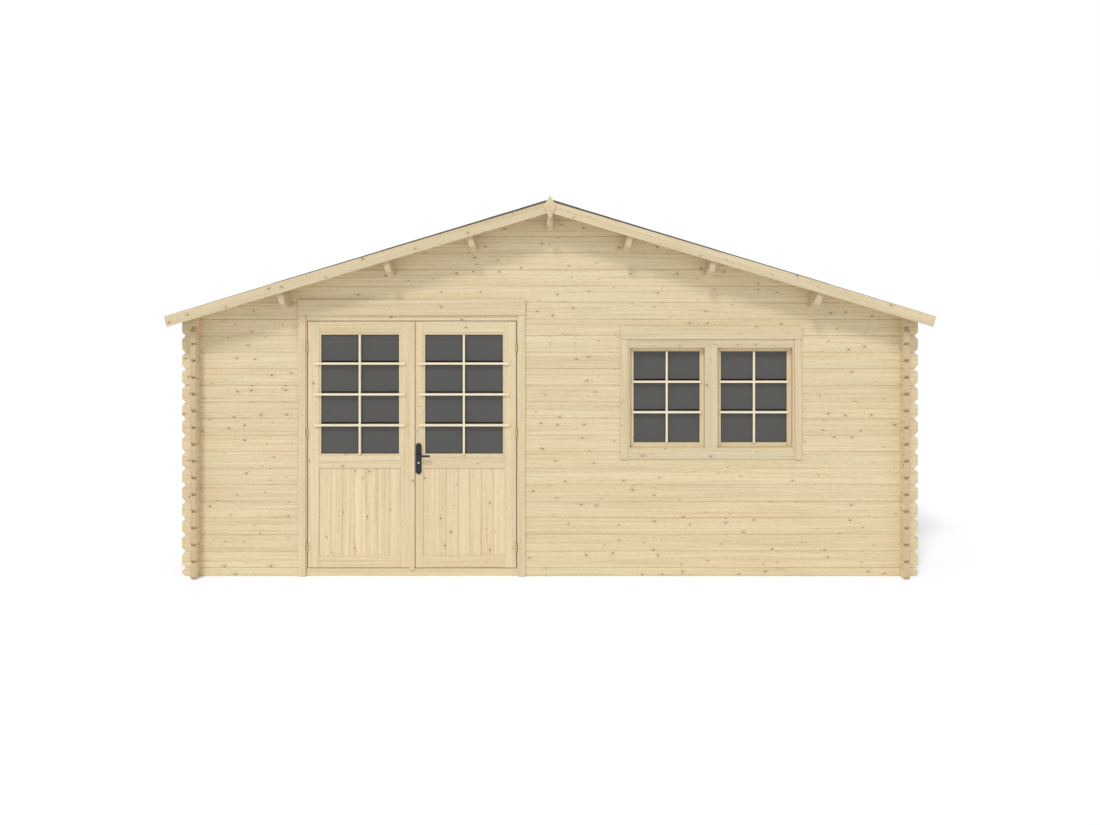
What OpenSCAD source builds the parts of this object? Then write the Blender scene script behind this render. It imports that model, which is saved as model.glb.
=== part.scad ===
// A log summerhouse: tongue-and-groove logs, a purlin roof, a pair of glazed doors and a twin window.
// The origin is on the ground under the middle of the house. The front, with the doors, faces -Y.

/* [Walls] */
// Width over the outer faces of the side walls
house_w = 5750; // [5000:10:7000]
// Depth over the outer faces of the front and back walls
house_d = 4250; // [3000:10:6000]
// Height of one log course
log_h = 134; // [130:1:142]
// Thickness of a log
log_t = 44; // [40:1:60]
// Log courses in a side wall
courses = 16; // [16:1:18]
// Length of the log ends past the crossing wall
log_end = 100; // [60:1:160]
// V bevel along the face edges of a log
log_bevel = 5; // [2:0.5:6]
// Bevel across the corners of a log's end
end_bevel = 28; // [15:1:30]
// Width of each of a log's two tongues
tongue_w = 8; // [6:0.5:9]
// Height of the tongues
tongue_h = 8; // [5:0.5:12]
// Distance between the middles of the two tongues
tongue_pitch = 18; // [15:0.5:20]
// Depth of the grooves that take the tongues
groove_d = 19; // [13:0.5:20]
// Clearance in the log joints and round what is let into the walls
fit = 0.4; // [0.2:0.05:0.6]

/* [Roof] */
// Slope of the roof in degrees
roof_pitch = 16.9; // [14:0.1:22]
// Reach of the roof past the side walls
eaves_out = 170; // [140:1:300]
// Reach of the purlins and roof boards past the front and back walls
verge_out = 185; // [130:1:400]
// Thickness of the roof boards
deck_t = 22; // [16:1:28]
// Thickness of the roof covering
cover_t = 11; // [4:0.5:12]
// Thickness of the covering's turned-down edges
lip_t = 4; // [3:0.5:6]
// Depth of the covering's turned-down edges
lip_h = 14; // [8:1:16]
// Width of a purlin
purlin_w = 45; // [38:1:70]
// Depth of a purlin
purlin_h = 185; // [140:1:220]
// Depth of the ridge purlin at its middle
ridge_h = 205; // [160:1:240]
// Cut across the lower corner of each purlin's end
purlin_cut = 38; // [20:1:60]
// Distance of the top purlins down the slope from the ridge
top_purlin_down = 687; // [610:1:755]
// Distance of the middle purlins up the slope from halfway between the ridge and the wall
middle_purlin_up = 125; // [30:1:190]
// Distance of the low purlins up the slope from the wall
low_purlin_up = 751; // [690:1:760]
// Clearance between the roof boards and the timbers that carry them
seat = 0.1; // [0.05:0.05:0.3]
// Width of the bargeboards
barge_w = 86; // [75:1:140]
// Thickness of the bargeboards
barge_t = 20; // [16:1:30]
// Slope of the bargeboards in degrees
barge_pitch = 16.6; // [14:0.1:22]
// Drop of the bargeboards below the covering at the ridge
barge_drop = 19; // [8:1:26]
// Width of the eaves battens
batten_w = 20; // [15:1:40]
// Depth of the eaves battens
batten_h = 40; // [25:1:50]
// Width of the ridge finial
finial_w = 102; // [80:1:150]
// Height of the finial's point over its widest place
finial_up = 83; // [60:1:120]
// Depth of the finial's point under its widest place
finial_down = 110; // [80:1:150]
// Height of the finial's point over the roof covering
finial_rise = 27; // [20:1:60]
// Thickness of the finial at its rim
finial_rim = 10; // [6:1:16]
// Rise of the finial's faceted front over its rim
finial_facet = 10; // [4:1:16]

/* [Floor] */
// Depth of the floor bearers
bearer_h = 44; // [38:1:44]
// Width of the floor bearers
bearer_w = 58; // [45:1:90]
// Greatest distance between the middles of two bearers
bearer_pitch = 600; // [400:10:800]
// Thickness of the floor boards
board_t = 19; // [16:1:22]

/* [Doors] */
// Middle of the doorway, left of the house's middle
door_x = -1116; // [-1200:1:-1000]
// Width of the two door leaves together, with the gap between them
door_w = 1684; // [1600:1:1760]
// Height of the door leaves
door_h = 1990; // [1900:1:1995]
// Thickness of a leaf
leaf_t = 40; // [36:1:50]
// Gap round the leaves
door_gap = 6; // [5:0.5:9]
// Gap between the leaves
meeting_gap = 7; // [6:0.5:10]
// Place of the gap between the leaves, right of the doorway's middle
meeting_x = 25.5; // [20:0.5:30]
// Width of the outer stiles and of the top rail
stile_w = 91; // [80:1:110]
// Width of the left leaf's meeting stile
left_meeting_w = 111; // [95:1:130]
// Width of the right leaf's meeting stile
right_meeting_w = 61; // [56:1:75]
// Width of the bottom rail
bottom_rail_w = 99; // [85:1:140]
// Width of the middle rail
mid_rail_w = 99; // [85:1:140]
// Height of the middle rail's lower edge over the leaf's lower edge
mid_rail_up = 804; // [700:1:900]
// Thickness of the boarded panels
panel_t = 18; // [14:1:24]
// How far the panels' faces lie behind the leaf's face
panel_back = 8; // [5:1:12]
// Boards in a panel
panel_boards = 7; // [5:1:9]
// Depth of the V joints between the panel boards
panel_bevel = 3; // [2:0.5:5]
// Thickness of the panes
glass_t = 4; // [3:0.5:6]
// Width of the strip on the left leaf's meeting edge
strip_w = 36; // [28:1:45]
// Thickness of that strip
strip_t = 10; // [6:1:16]
// How far the strip runs below the leaf
strip_down = 15; // [5:1:25]
// Width of the door jambs
jamb_w = 42; // [38:1:60]
// Depth of the door frame's reach inside the wall's outer face
frame_in = 62; // [60:1:90]
// Depth of the door frame's head
head_h = 60; // [55:1:80]
// How far the threshold's face lies behind the wall's face
threshold_back = 6; // [5:1:10]
// Width of the stops that the leaves close against
stop_w = 15; // [10:1:25]

/* [Casings] */
// Width of the upright casing boards
casing_w = 59; // [55:1:80]
// Thickness of the casing boards
casing_t = 14; // [10:1:15]
// Part of the door jambs left showing beside the casing
casing_reveal = 10; // [6:0.5:14]
// Part of the window's side frames left showing beside the casing
window_reveal = 16; // [8:0.5:20]
// Height of the board over the doors
door_header_h = 124; // [90:1:130]
// Height of the board over the window
window_header_h = 106; // [80:1:120]
// How far the boards over the openings run past the uprights
header_out = 2; // [0:1:20]
// How far those boards stand out in front of the uprights
header_proud = 5; // [0:0.5:8]
// Part of the frames' heads left showing under the boards over them
head_reveal = 47; // [35:1:50]

/* [Hinges and handle] */
// Radius of a hinge barrel
hinge_r = 8; // [6:0.5:9]
// Distance from the leaf's face to the hinge axis
hinge_out = 8.5; // [8:0.25:10]
// Height of one hinge
hinge_h = 66; // [50:1:90]
// Radius of a hinge pin
pin_r = 4; // [3:0.25:5]
// Running clearance of the pins, the lever and the lock cylinder
run_fit = 0.05; // [0.02:0.01:0.1]
// Thickness of the hinge wings
wing_t = 2.5; // [2:0.25:4]
// Width of the hinge wings from the axis
wing_w = 11; // [9:0.5:12]
// Height of the low hinges' middle over the ground
hinge_low = 238; // [200:1:320]
// Height of the middle hinges' middle over the ground
hinge_mid = 1156; // [1000:1:1250]
// Height of the top hinges' middle over the ground
hinge_top = 1854; // [1750:1:1900]
// Width of the handle plates
plate_w = 46; // [38:1:50]
// Height of the handle plates
plate_h = 250; // [200:1:280]
// Thickness of the handle plates
plate_t = 8; // [5:0.5:12]
// Height of the handle plates' middle over the ground
plate_z = 951; // [930:1:990]
// Distance from the right leaf's meeting edge to the lever's axis
lever_in = 26; // [25:1:32]
// Height of the lever over the plate's middle
lever_up = 27; // [15:1:50]
// Length of the lever from its axis
lever_l = 100; // [80:1:130]
// Radius of the lever's grip
grip_r = 8.5; // [7:0.5:11]
// Radius of the lever's neck
neck_r = 8; // [6:0.5:10]
// Reach of the neck from the plate to the grip's middle
neck_l = 36; // [28:1:50]
// Side of the square spindle that joins the two levers
spindle_w = 8; // [6:0.5:9]
// Depth of the lock cylinder below the plate's middle
lock_down = 33; // [25:1:60]
// Radius of the lock cylinder
lock_r = 8.5; // [7:0.5:10]
// Reach of the lock cylinder past the plates
lock_out = 3; // [1:0.5:6]

/* [Window] */
// Middle of the window, right of the house's middle
window_x = 1302; // [1250:1:1360]
// Clear width of the window between its side frames
window_w = 1314; // [1200:1:1330]
// Clear height of the window
window_h = 810; // [700:1:830]
// Height of the clear opening's lower edge over the ground
window_z = 1038; // [1000:1:1060]
// Width of the post between the two lights
mullion_w = 103; // [80:1:130]
// Width of the side frames
side_w = 40; // [36:1:60]
// Depth of the window's head
window_head_h = 80; // [70:1:84]
// Depth of the window's sill
sill_h = 92; // [80:1:110]
// Depth of the window frame's reach inside the wall's outer face
window_in = 78; // [78:1:95]
// Distance from the wall's outer face back to the sashes' face
sash_back = 44; // [36:1:44]
// How far the window frame's face stands out from the wall, between the casing boards
window_proud = 8; // [4:0.5:10]
// Bevel along the sill's upper edge, under each light
sill_bevel = 11; // [6:0.5:14]
// Width of the sash members
sash_w = 34; // [28:1:50]
// Thickness of the sashes
sash_t = 34; // [28:1:34]

/* [Hidden] */

PINE = "burlywood";
TRIM = "wheat";
GLASS = "dimgray";
ROUND = 48;

// Roof lines: the underside of the boards meets the inner top edge of the side walls.
inner_w = house_w - 2 * log_t;
inner_d = house_d - 2 * log_t;
log_reach = house_w / 2 + log_end;
wall_top = courses * log_h;
ridge_under = wall_top + inner_w / 2 * tan(roof_pitch);
roof_t = deck_t + cover_t;
ridge_top = ridge_under + roof_t / cos(roof_pitch);
eaves_x = house_w / 2 + eaves_out;
cover_l = (eaves_x - roof_t * sin(roof_pitch)) / cos(roof_pitch);
deck_l = cover_l - lip_t;
verge_y = house_d / 2 + verge_out;
slope_l = house_w / 2 / cos(roof_pitch);
purlins = [top_purlin_down, slope_l / 2 - middle_purlin_up, slope_l - low_purlin_up];

// Door lines: heights over the ground, and distances across the house.
// The leaves and frames are flush with the wall's outer face.
floor_top = bearer_h + board_t;
door_z = floor_top + door_gap;
leaf_top = door_z + door_h;
frame_w = door_w + 2 * door_gap;
door_head_z = leaf_top + door_gap;
door_head_top = door_head_z + head_h;
door_rough_w = frame_w + 2 * jamb_w;
door_left = door_x - door_w / 2;
door_right = door_x + door_w / 2;
left_axis = door_left - door_gap / 2;
right_axis = door_right + door_gap / 2;
left_edge = door_x + meeting_x - meeting_gap / 2;
right_edge = door_x + meeting_x + meeting_gap / 2;
lever_x = right_edge + lever_in;
lever_z = plate_z + lever_up;
lock_z = plate_z - lock_down;
hinge_heights = [hinge_low, hinge_mid, hinge_top];
mid_rail_z = door_z + mid_rail_up;
glass_z = mid_rail_z + mid_rail_w;
glass_top = leaf_top - stile_w;
panel_z = door_z + bottom_rail_w;
stop_d = leaf_t + door_gap;

// Window lines.
window_top = window_z + window_h;
window_head_top = window_top + window_head_h;
sill_z = window_z - sill_h;
window_face = window_w / 2 + window_reveal;
window_header_z = window_head_top - casing_reveal;
window_rough_w = window_w + 2 * side_w;
light_w = (window_w - mullion_w) / 2;

// The first course of the gables is the one that the doorway's head is let into.
first_gable = ceil((door_head_top - log_h / 2) / log_h);
gable_courses = ceil((ridge_under - log_h / 2) / log_h);

// Height of the roof boards' underside over a place across the house
function under(x) = ridge_under - abs(x) * tan(roof_pitch);

// Lower and upper edge of a course: the front and back walls start with half a log
function front_low(i) = i == 0 ? 0 : (i - 0.5) * log_h;
function front_high(i) = (i + 0.5) * log_h;

// A point on the right-hand slope: s down the slope from the ridge, n out from the boards' underside
function slope(s, n) = [
  s * cos(roof_pitch) + n * sin(roof_pitch),
  ridge_under - s * sin(roof_pitch) + n * cos(roof_pitch)
];

// A box on the front of the house, with depths counted outwards from the wall's face
module front_box(x0, x1, d0, d1, z0, z1) {
  translate([x0, -house_d / 2 - d1, z0]) cube([x1 - x0, d1 - d0, z1 - z0]);
}

// An outline drawn across the house and up, made solid from y0 to y1
module across(y0, y1) {
  translate([0, y1, 0]) rotate([90, 0, 0]) linear_extrude(y1 - y0) children();
}

// Cross-section of a log: bevelled edges, two tongues on top and two grooves below
module log_section(h, grooved, outer_drop = 0) {
  t = log_t / 2;
  b = log_bevel;
  tongued = outer_drop == 0;
  top = h - fit;
  difference() {
    union() {
      polygon([
        [-t, b], [-t + b, 0], [t - b, 0], [t, b],
        [t, top - (tongued ? b : 0)], [t - b, top - (tongued ? 0 : outer_drop * b / log_t)],
        [-t + b, top - outer_drop * (1 - b / log_t)], [-t, top - outer_drop - (tongued ? b : 0)]
      ]);
      if (tongued) for (side = [-1, 1])
        translate([side * tongue_pitch / 2 - tongue_w / 2, top - b])
          square([tongue_w, tongue_h + b]);
    }
    if (grooved) for (side = [-1, 1])
      translate([side * tongue_pitch / 2 - tongue_w / 2 - fit, -b])
        square([tongue_w + 2 * fit, groove_d + b]);
  }
}

// Outline of a log seen from its face: its free ends bevelled, with notches where the other walls cross
module log_outline(x0, x1, z0, z1, end_0, end_1, crossing) {
  top = z1 + tongue_h;
  slant = end_bevel + tongue_h;
  neck_low = z0 == 0 && z1 < log_h ? 0 : z1 - 0.75 * log_h;
  neck_high = z1 - log_h / 4;
  low_bevel = min(end_bevel, z1 - z0 - end_bevel);
  difference() {
    polygon([
      [x0 + end_0 * end_bevel, z0], [x1 - end_1 * end_bevel, z0],
      [x1, z0 + end_1 * low_bevel], [x1, z1 - end_1 * end_bevel], [x1 - end_1 * slant, top],
      [x0 + end_0 * slant, top], [x0, z1 - end_0 * end_bevel], [x0, z0 + end_0 * low_bevel]
    ]);
    for (side = [-1, 1]) translate([side * crossing, 0]) {
      w = log_t + 2 * fit;
      translate([-w / 2, z0 - log_h]) square([w, neck_low + fit / 2 - z0 + log_h]);
      translate([-w / 2, neck_high - fit / 2]) square([w, log_h]);
    }
  }
}

// What is cut out of the front and back walls: the space over the roof and the seats of the purlins
module roof_cuts() {
  far = house_w;
  polygon([
    [-far, under(far) - fit], [0, ridge_under - fit], [far, under(far) - fit],
    [far, 2 * ridge_under], [-far, 2 * ridge_under]
  ]);
  translate([-purlin_w / 2 - fit, ridge_under - ridge_h - fit]) square([purlin_w + 2 * fit, ridge_h]);
  for (side = [0, 1]) mirror([side, 0]) translate([0, ridge_under]) rotate(-roof_pitch)
    for (s = purlins) translate([s - purlin_w / 2 - fit, -purlin_h - fit])
      square([purlin_w + 2 * fit, purlin_h + 2 * fit]);
}

// The openings in the front wall, in which the door and window frames sit
module front_openings() {
  translate([door_x - door_rough_w / 2 - fit, -log_h])
    square([door_rough_w + 2 * fit, door_head_top + fit + log_h]);
  translate([window_x - window_rough_w / 2 - fit, sill_z - fit])
    square([window_rough_w + 2 * fit, window_head_top - sill_z + 2 * fit]);
}

// One course of the front or back wall between x0 and x1, with the openings if it is at the front
module cross_log(i, x0, x1, open) {
  z0 = front_low(i);
  z1 = front_high(i);
  intersection() {
    translate([-log_reach, 0, z0]) rotate([90, 0, 90]) linear_extrude(2 * log_reach)
      log_section(z1 - z0, i > 0);
    across(-log_t, log_t) difference() {
      log_outline(x0, x1, z0, z1, x0 <= -log_reach ? 1 : 0, x1 >= log_reach ? 1 : 0,
        (house_w - log_t) / 2);
      if (i >= first_gable) roof_cuts();
      if (open) front_openings();
    }
  }
}

// Courses first to last of the front wall (side -1) or the back wall (side 1), between x0 and x1
module cross_wall(side, first, last, x0, x1) {
  color(PINE) translate([0, side * (house_d - log_t) / 2, 0])
    for (i = [first:last]) cross_log(i, x0, x1, side < 0);
}

// A side wall, with its top course planed to the slope of the roof
module side_wall(side) {
  end = house_d / 2 + log_end;
  color(PINE) translate([side * (house_w - log_t) / 2, 0, 0]) rotate([0, 0, side * 90])
    for (i = [0:courses - 1]) intersection() {
      translate([-end, 0, i * log_h]) rotate([90, 0, 90]) linear_extrude(2 * end)
        log_section(log_h, i > 0, i == courses - 1 ? log_t * tan(roof_pitch) : 0);
      across(-log_t, log_t)
        log_outline(-end, end, i * log_h, (i + 1) * log_h, 1, 1, (house_d - log_t) / 2);
    }
}

module front_wall_left() cross_wall(-1, 0, first_gable - 1, -log_reach, door_x);
module front_wall_right() cross_wall(-1, 0, first_gable - 1, door_x, log_reach);
module front_gable() cross_wall(-1, first_gable, gable_courses, -log_reach, log_reach);
module back_wall() cross_wall(1, 0, first_gable - 1, -log_reach, log_reach);
module back_gable() cross_wall(1, first_gable, gable_courses, -log_reach, log_reach);
module left_wall() side_wall(-1);
module right_wall() side_wall(1);

// Floor: boards on bearers between the walls
module floor_bearers() {
  gaps = ceil((inner_d - bearer_w) / bearer_pitch);
  color(PINE) for (i = [0:gaps])
    translate([-inner_w / 2 + fit, -inner_d / 2 + fit + i * (inner_d - 2 * fit - bearer_w) / gaps, 0])
      cube([inner_w - 2 * fit, bearer_w, bearer_h]);
}

module floor_boards() {
  color(TRIM) translate([-inner_w / 2 + fit, -inner_d / 2 + fit, bearer_h])
    cube([inner_w - 2 * fit, inner_d - 2 * fit, board_t]);
}

// Side view of a purlin: a beam with its lower end corners cut off
module purlin_side(h) {
  end = verge_y - seat;
  polygon([
    [-end, 0], [end, 0], [end, purlin_cut - h],
    [end - purlin_cut, -h], [purlin_cut - end, -h], [-end, purlin_cut - h]
  ]);
}

module ridge_purlin() {
  w = purlin_w / 2;
  color(PINE) intersection() {
    translate([-w, 0, ridge_under]) rotate([90, 0, 90]) linear_extrude(purlin_w) purlin_side(ridge_h);
    across(-verge_y, verge_y) polygon([
      [-w, 0], [w, 0], [w, under(w) - seat], [0, ridge_under - seat], [-w, under(w) - seat]
    ]);
  }
}

module purlin_row() {
  color(PINE) for (s = purlins)
    translate([0, 0, ridge_under]) rotate([0, roof_pitch, 0]) translate([s - purlin_w / 2, 0, -seat])
      rotate([90, 0, 90]) linear_extrude(purlin_w) purlin_side(purlin_h);
}

module left_purlins() mirror([1, 0, 0]) purlin_row();
module right_purlins() purlin_row();

// One slope of the roof boards, from the ridge to the eaves
module roof_boards() {
  color(TRIM) across(lip_t - verge_y, verge_y - lip_t) polygon([
    slope(0, 0), slope(deck_l, 0), slope(deck_l, deck_t), slope(-deck_t * tan(roof_pitch), deck_t)
  ]);
}

module left_roof_boards() mirror([1, 0, 0]) roof_boards();
module right_roof_boards() roof_boards();

// One slope of the covering, turned down over the edges of the roof boards
module roof_covering() {
  low = deck_t - lip_h;
  color("dimgray") {
    across(-verge_y, verge_y) polygon([
      slope(-deck_t * tan(roof_pitch), deck_t), slope(deck_l, deck_t), slope(deck_l, low),
      slope(cover_l, low), slope(cover_l, roof_t), slope(-roof_t * tan(roof_pitch), roof_t)
    ]);
    for (y = [-verge_y, verge_y - lip_t]) across(y, y + lip_t) polygon([
      slope(-low * tan(roof_pitch), low), slope(cover_l, low),
      slope(cover_l, deck_t), slope(-deck_t * tan(roof_pitch), deck_t)
    ]);
  }
}

module left_roof_covering() mirror([1, 0, 0]) roof_covering();
module right_roof_covering() roof_covering();

module eaves_battens() {
  low = -seat - batten_h;
  color(PINE) for (side = [0, 1]) mirror([side, 0, 0]) across(lip_t - verge_y, verge_y - lip_t) polygon([
    slope(deck_l - batten_w, low), slope(deck_l, low),
    slope(deck_l, -seat), slope(deck_l - batten_w, -seat)
  ]);
}

// The pair of bargeboards at one gable, cut plumb where they meet
module bargeboards() {
  l = eaves_x / cos(barge_pitch);
  color(TRIM) for (side = [0, 1]) mirror([side, 0, 0]) across(-verge_y - barge_t, -verge_y)
    translate([fit / 2, ridge_top - barge_drop]) rotate(-barge_pitch)
      polygon([[0, 0], [l, 0], [l, -barge_w], [barge_w * tan(barge_pitch), -barge_w]]);
}

module front_bargeboards() bargeboards();
module back_bargeboards() mirror([0, 1, 0]) bargeboards();

// Kite-shaped finial with a faceted front, over the joint of the bargeboards
module kite(k) {
  polygon([[0, finial_up * k], [finial_w / 2 * k, 0], [0, -finial_down * k], [-finial_w / 2 * k, 0]]);
}

module finial() {
  y = -verge_y - barge_t;
  color(TRIM) translate([0, y, ridge_top + finial_rise - finial_up]) rotate([90, 0, 0]) hull() {
    linear_extrude(finial_rim) kite(1);
    linear_extrude(finial_rim + finial_facet) kite(0.25);
  }
}

module front_finial() finial();
module back_finial() mirror([0, 1, 0]) finial();

// Door frame
module door_jambs() {
  color(TRIM) for (x = [-frame_w / 2 - jamb_w, frame_w / 2])
    front_box(door_x + x, door_x + x + jamb_w, -frame_in, 0, floor_top, door_head_z);
}

module door_head() {
  color(TRIM) front_box(door_x - door_rough_w / 2, door_x + door_rough_w / 2, -frame_in, 0,
    door_head_z, door_head_top);
}

module door_threshold() {
  color(TRIM) front_box(door_x - door_rough_w / 2, door_x + door_rough_w / 2, -log_t, -threshold_back,
    0, floor_top);
}

module door_stops() {
  x = frame_w / 2;
  color(TRIM) {
    for (side = [-x, x - stop_w])
      front_box(door_x + side, door_x + side + stop_w, -frame_in, -stop_d, floor_top, door_head_z);
    front_box(door_x - x + stop_w + fit, door_x + x - stop_w - fit, -frame_in, -stop_d,
      door_head_z - stop_w, door_head_z);
  }
}

// Casing boards round an opening: two uprights from z0 to z1 and a board over them, which may be thicker
module casing(x, half, z0, z1, header, d0, d1, proud) {
  color(TRIM) {
    for (side = [-half - casing_w, half])
      front_box(x + side, x + side + casing_w, d0, d1, z0, z1 - fit);
    front_box(x - half - casing_w - header_out, x + half + casing_w + header_out, d0, d1 + proud,
      z1, z1 + header);
  }
}

module door_casing() {
  casing(door_x, frame_w / 2 + casing_reveal, 0, door_head_z + head_reveal, door_header_h,
    0, casing_t, header_proud);
}

module door_casing_inside() {
  casing(door_x, door_rough_w / 2 + fit, floor_top, door_head_top + fit, casing_w,
    -log_t - casing_t, -log_t, 0);
}

// One hinge half, with its wing on the wood beside the axis: side 1 puts the wing on the right
module hinge_half(x, z, side, bored) {
  h = hinge_h / 2 - fit / 2;
  translate([x, -house_d / 2 - hinge_out, z]) difference() {
    union() {
      cylinder(r = hinge_r, h = h, $fn = ROUND);
      translate([side > 0 ? 0 : -wing_w, hinge_out - wing_t, 0]) cube([wing_w, wing_t, h]);
    }
    if (bored) translate([0, 0, -fit])
      cylinder(r = pin_r + run_fit, h = h - pin_r + fit, $fn = ROUND);
  }
}

// The halves on the frame, each with the pin that its leaf turns on
module hinge_pins() {
  color("gold") for (side = [-1, 1]) for (z = hinge_heights) {
    x = side < 0 ? left_axis : right_axis;
    hinge_half(x, z - hinge_h / 2, side, false);
    translate([x, -house_d / 2 - hinge_out, z - hinge_h / 4])
      cylinder(r = pin_r, h = 3 * hinge_h / 4 - 2 * pin_r, $fn = ROUND);
  }
}

module left_leaf_hinges() {
  color("gold") for (z = hinge_heights) hinge_half(left_axis, z + fit / 2, 1, true);
}

module right_leaf_hinges() {
  color("gold") for (z = hinge_heights) hinge_half(right_axis, z + fit / 2, -1, true);
}

// The parts of a leaf, between the inner edges of its stiles
module leaf_rails(x0, x1) {
  color(TRIM) for (z = [[door_z, panel_z], [mid_rail_z, glass_z], [glass_top, leaf_top]])
    front_box(x0, x1, -leaf_t, 0, z[0], z[1]);
}

// Boards with V joints on both faces, seen from above
module board_outline(w) {
  pitch = w / panel_boards;
  b = panel_bevel;
  t = panel_t;
  joints = [for (i = [1:panel_boards - 1]) i * pitch];
  back = [for (i = [1:panel_boards - 1]) w - i * pitch];
  polygon(concat(
    [[0, 0]], [for (x = joints) each [[x - b, 0], [x, b], [x + b, 0]]], [[w, 0]],
    [[w, t]], [for (x = back) each [[x + b, t], [x, t - b], [x - b, t]]], [[0, t]]
  ));
}

module leaf_panel(x0, x1) {
  color(PINE) translate([x0, -house_d / 2 + panel_back, panel_z])
    linear_extrude(mid_rail_z - panel_z) board_outline(x1 - x0);
}

module leaf_glass(x0, x1) {
  color(GLASS) front_box(x0, x1, -(leaf_t + glass_t) / 2, -(leaf_t - glass_t) / 2, glass_z, glass_top);
}

module left_leaf_stiles() {
  color(TRIM) {
    front_box(door_left, door_left + stile_w, -leaf_t, 0, door_z, leaf_top);
    front_box(left_edge - left_meeting_w, left_edge, -leaf_t, 0, door_z, leaf_top);
  }
}

module left_leaf_rails() leaf_rails(door_left + stile_w, left_edge - left_meeting_w);
module left_leaf_panel() leaf_panel(door_left + stile_w, left_edge - left_meeting_w);
module left_leaf_glass() leaf_glass(door_left + stile_w, left_edge - left_meeting_w);

module meeting_strip() {
  color(PINE) front_box(left_edge - strip_w, left_edge, 0, strip_t,
    door_z - strip_down, leaf_top);
}

module right_leaf_stiles() {
  color(TRIM) difference() {
    union() {
      front_box(right_edge, right_edge + right_meeting_w, -leaf_t, 0, door_z, leaf_top);
      front_box(door_right - stile_w, door_right, -leaf_t, 0, door_z, leaf_top);
    }
    handle_bore(lever_z, spindle_w, fit);
    handle_bore(lock_z, lock_r + run_fit, fit);
  }
}

module right_leaf_rails() leaf_rails(right_edge + right_meeting_w, door_right - stile_w);
module right_leaf_panel() leaf_panel(right_edge + right_meeting_w, door_right - stile_w);
module right_leaf_glass() leaf_glass(right_edge + right_meeting_w, door_right - stile_w);

// A round rod or hole through the right leaf at the handle, reaching past its faces on both sides
module handle_bore(z, r, past) {
  translate([lever_x, -house_d / 2 - past, z]) rotate([-90, 0, 0])
    cylinder(r = r, h = leaf_t + 2 * past, $fn = ROUND);
}

module plate_outline() {
  square([plate_w, plate_h - plate_w], center = true);
  for (side = [-1, 1]) translate([0, side * (plate_h - plate_w) / 2]) circle(d = plate_w, $fn = ROUND);
}

module handle_plates() {
  face = -house_d / 2;
  color("black") difference() {
    for (y = [face - plate_t, face + leaf_t])
      translate([lever_x, 0, plate_z]) across(y, y + plate_t) plate_outline();
    handle_bore(lever_z, neck_r + run_fit, 2 * plate_t);
    handle_bore(lock_z, lock_r + run_fit, 2 * plate_t);
  }
}

module lock_cylinder() {
  color("silver") handle_bore(lock_z, lock_r, plate_t + lock_out);
}

// Both levers on their spindle, pointing towards the hinges
module lever_handle() {
  reach = plate_t + neck_l;
  face = -house_d / 2;
  color("black") {
    translate([lever_x - spindle_w / 2, face - plate_t, lever_z - spindle_w / 2])
      cube([spindle_w, leaf_t + 2 * plate_t, spindle_w]);
    for (y = [face - reach, face + leaf_t]) translate([lever_x, y, lever_z]) rotate([-90, 0, 0])
      cylinder(r = neck_r, h = reach, $fn = ROUND);
    for (y = [face - reach, face + leaf_t + reach])
      translate([lever_x - grip_r, y, lever_z]) rotate([0, 90, 0]) {
        cylinder(r = grip_r, h = lever_l, $fn = ROUND);
        translate([0, 0, lever_l]) cylinder(r1 = grip_r, r2 = grip_r / 2, h = grip_r / 2, $fn = ROUND);
      }
  }
}

// Window frame: let into the wall, with its face standing out between the casing boards
module window_jambs() {
  left = window_x - window_w / 2;
  color(TRIM) {
    for (side = [0, 1]) translate([window_x, 0, 0]) mirror([side, 0, 0]) {
      front_box(window_w / 2, window_w / 2 + side_w, -window_in, 0, window_z, window_top);
      front_box(window_w / 2, window_face - fit, -window_in, window_proud, window_z, window_top);
    }
    front_box(left + light_w, left + light_w + mullion_w, -window_in, window_proud, window_z, window_top);
  }
}

module window_rails() {
  half = window_rough_w / 2;
  face = window_face - fit;
  color(TRIM) {
    difference() {
      union() {
        front_box(window_x - half, window_x + half, -window_in, 0, sill_z, window_z);
        front_box(window_x - face, window_x + face, -window_in, window_proud, sill_z, window_z);
      }
      lights() sill_slope();
    }
    front_box(window_x - half, window_x + half, -window_in, 0, window_top, window_head_top);
    front_box(window_x - face, window_x + face, -window_in, window_proud, window_top,
      window_header_z - fit);
  }
}

// What is planed off the sill's upper edge under a light, to shed rain
module sill_slope() {
  translate([0, -house_d / 2 - window_proud, window_z]) rotate([90, 0, 90]) linear_extrude(light_w)
    polygon([[-sill_bevel, -2 * sill_bevel], [sill_bevel, 0], [-sill_bevel, 0]]);
}

module lights() {
  for (x = [window_x - window_w / 2, window_x + mullion_w / 2]) translate([x, 0, 0]) children();
}

module window_sashes() {
  color(TRIM) lights() difference() {
    front_box(fit, light_w - fit, -sash_back - sash_t, -sash_back, window_z + fit, window_top - fit);
    front_box(sash_w, light_w - sash_w, -sash_back - 2 * sash_t, 0,
      window_z + sash_w, window_top - sash_w);
  }
}

module window_glass() {
  middle = -sash_back - sash_t / 2;
  edge = sash_w + fit;
  color(GLASS) lights() front_box(edge, light_w - edge, middle - glass_t / 2, middle + glass_t / 2,
    window_z + edge, window_top - edge);
}

module window_casing() {
  casing(window_x, window_face, sill_z, window_header_z, window_header_h, 0, casing_t, header_proud);
}

module window_casing_inside() {
  casing(window_x, window_rough_w / 2 + fit, sill_z, window_head_top + fit, casing_w,
    -log_t - casing_t, -log_t, 0);
}

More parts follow.
